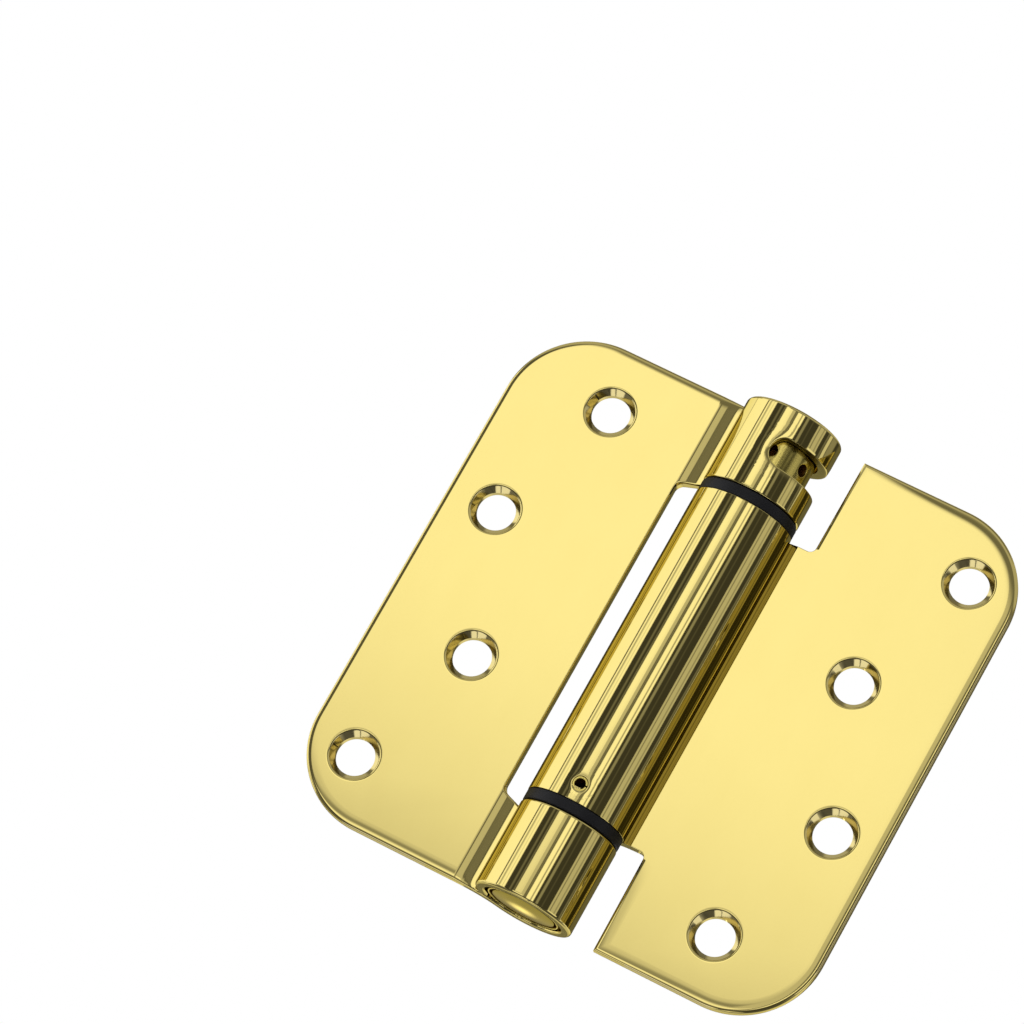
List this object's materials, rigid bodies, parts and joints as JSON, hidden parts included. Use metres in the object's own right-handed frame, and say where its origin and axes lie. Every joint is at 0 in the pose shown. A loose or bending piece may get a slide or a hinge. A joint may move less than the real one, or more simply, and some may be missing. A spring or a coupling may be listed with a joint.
{
  "type": "self-closing spring hinge",
  "caption": "Self-closing butt hinge in polished brass: round-cornered leaves on a sprung barrel whose tension collar is turned and pinned through a window.",
  "frame": {"origin": "on the pin axis at mid height, which is the centre of the bounding box with the leaves open flat", "axes": "+Z along the pin axis towards the tension collar, +X towards the door leaf, +Y towards the backs of the leaves"},
  "size_m": [0.1016, 0.019, 0.1016],
  "materials": {
    "polished_brass": "polished",
    "turned_brass": "turned and polished",
    "black_nylon": "moulded",
    "steel": "turned",
    "spring_steel": "oiled"
  },
  "bodies": {
    "jamb": {"jamb_leaf": "polished_brass", "pivot_plug": "turned_brass", "upper_sleeve": "turned_brass", "lower_sleeve": "turned_brass"},
    "door": {"door_leaf": "polished_brass", "upper_bearing": "black_nylon", "lower_bearing": "black_nylon", "spring_anchor": "steel", "anchor_pin": "turned_brass", "torsion_spring": "spring_steel"},
    "collar": {"tension_collar": "turned_brass"}
  },
  "joints": [
    {"name": "leaf_swing", "type": "hinge", "parent": "jamb", "child": "door", "pos_m": [0, 0, 0], "axis": [0, 0, 1], "range_deg": [-180, 140], "deforming": ["torsion_spring"]},
    {"name": "collar_turn", "type": "hinge", "parent": "jamb", "child": "collar", "pos_m": [0, 0, 0.042], "axis": [0, 0, 1], "range_deg": [-240, 0], "deforming": ["torsion_spring"]}
  ]
}
